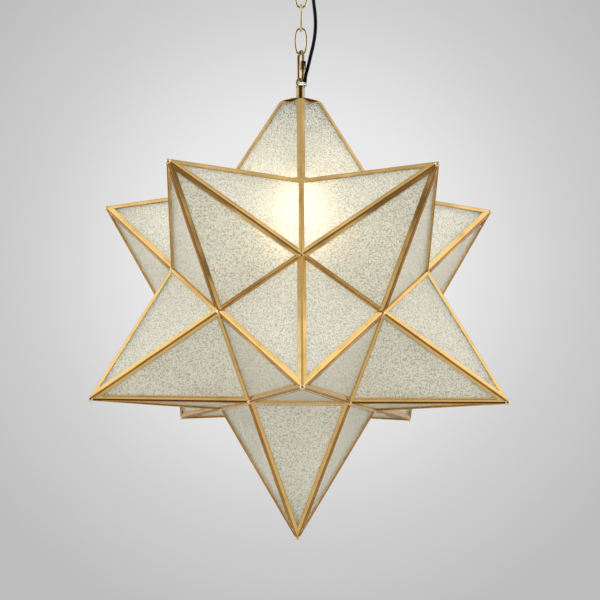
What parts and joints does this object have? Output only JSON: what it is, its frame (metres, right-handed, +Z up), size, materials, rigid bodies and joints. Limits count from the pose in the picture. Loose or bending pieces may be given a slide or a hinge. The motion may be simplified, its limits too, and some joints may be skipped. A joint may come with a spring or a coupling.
{
  "type": "moravian star pendant light",
  "caption": "Hanging star lantern: hollow glass points in folded brass strips round a bulb, on a short chain with a cord beside it.",
  "frame": {"origin": "on the ceiling, at the middle of the mounting bar's two screw holes", "axes": "+Z up, into the ceiling; the picture is seen along +Y, with +X to the right"},
  "size_m": [0.4274, 0.4494, 0.6459],
  "materials": {
    "strip_brass": "polished",
    "fitting_brass": "polished",
    "seeded_glass": "seeded, water-rippled",
    "zinc_steel": "zinc plated",
    "black_cord": "smooth",
    "clear_plastic": "smooth",
    "white_plastic": "moulded",
    "holder_plastic": "moulded",
    "lamp_metal": "drawn",
    "bulb_glass": "frosted, lit"
  },
  "bodies": {
    "ceiling_fitting": {"canopy": "fitting_brass", "mounting_bar": "zinc_steel", "canopy_nipple": "zinc_steel", "nipple_nut": "zinc_steel", "canopy_loop": "fitting_brass", "earth_screw": "zinc_steel", "terminal_block": "white_plastic", "cord_grip": "white_plastic", "canopy_lead": "black_cord"},
    "pendant": {"chain_link_1": "fitting_brass", "chain_link_2": "fitting_brass", "chain_link_3": "fitting_brass", "quick_link": "fitting_brass", "hang_loop": "fitting_brass", "cord_outlet": "clear_plastic", "cord": "black_cord"},
    "link_sleeve": {"link_sleeve": "fitting_brass"},
    "star": {"access_surround": "strip_brass", "bottom_point_frame": "strip_brass", "bottom_point_glass": "seeded_glass", "cap_disc": "strip_brass", "contact_carrier": "holder_plastic", "hinge_pin": "strip_brass", "hinge_tubes": "strip_brass", "holder_cap": "holder_plastic", "holder_shell": "holder_plastic", "lower_point_1_frame": "strip_brass", "lower_point_1_glass": "seeded_glass", "lower_point_2_frame": "strip_brass", "lower_point_2_glass": "seeded_glass", "lower_point_3_frame": "strip_brass", "lower_point_3_glass": "seeded_glass", "lower_point_4_frame": "strip_brass", "lower_point_4_glass": "seeded_glass", "lower_point_5_frame": "strip_brass", "lower_point_5_glass": "seeded_glass", "screw_shell": "lamp_metal", "stem_collar": "fitting_brass", "stem_lead": "black_cord", "stem_nut": "zinc_steel", "stem_tube": "fitting_brass", "stem_washer": "zinc_steel", "top_point_frame": "strip_brass", "top_point_glass": "seeded_glass", "top_rim_strips": "strip_brass", "upper_point_1_frame": "strip_brass", "upper_point_1_glass": "seeded_glass", "upper_point_2_frame": "strip_brass", "upper_point_2_glass": "seeded_glass", "upper_point_4_frame": "strip_brass", "upper_point_4_glass": "seeded_glass", "upper_point_5_frame": "strip_brass", "upper_point_5_glass": "seeded_glass", "valley_strips": "strip_brass"},
    "access_point": {"access_point_frame": "strip_brass", "access_point_glass": "seeded_glass", "access_hinge_tube": "strip_brass"},
    "bulb": {"bulb_globe": "bulb_glass", "bulb_base": "lamp_metal"}
  },
  "joints": [
    {"name": "pendant_swing", "type": "hinge", "parent": "ceiling_fitting", "child": "pendant", "pos_m": [0, 0, -0.049], "axis": [0, 1, 0], "range_deg": [-15, 15], "deforming": ["cord"]},
    {"name": "star_turn", "type": "hinge", "parent": "pendant", "child": "star", "pos_m": [0, 0, -0.16325], "axis": [0, 0, 1], "range_deg": [-170, 170]},
    {"name": "link_sleeve_slide", "type": "slide", "parent": "pendant", "child": "link_sleeve", "axis": [0, 0, 1], "range_m": [0, 0.0065]},
    {"name": "access_point_hinge", "type": "hinge", "parent": "star", "child": "access_point", "pos_m": [0, 0.07146, -0.27916], "axis": [1, 0, 0], "range_deg": [0, 90]},
    {"name": "bulb_screw", "type": "hinge", "parent": "star", "child": "bulb", "pos_m": [0, 0, -0.243], "axis": [0, 0, 1], "range_deg": [-1260, 0]}
  ]
}
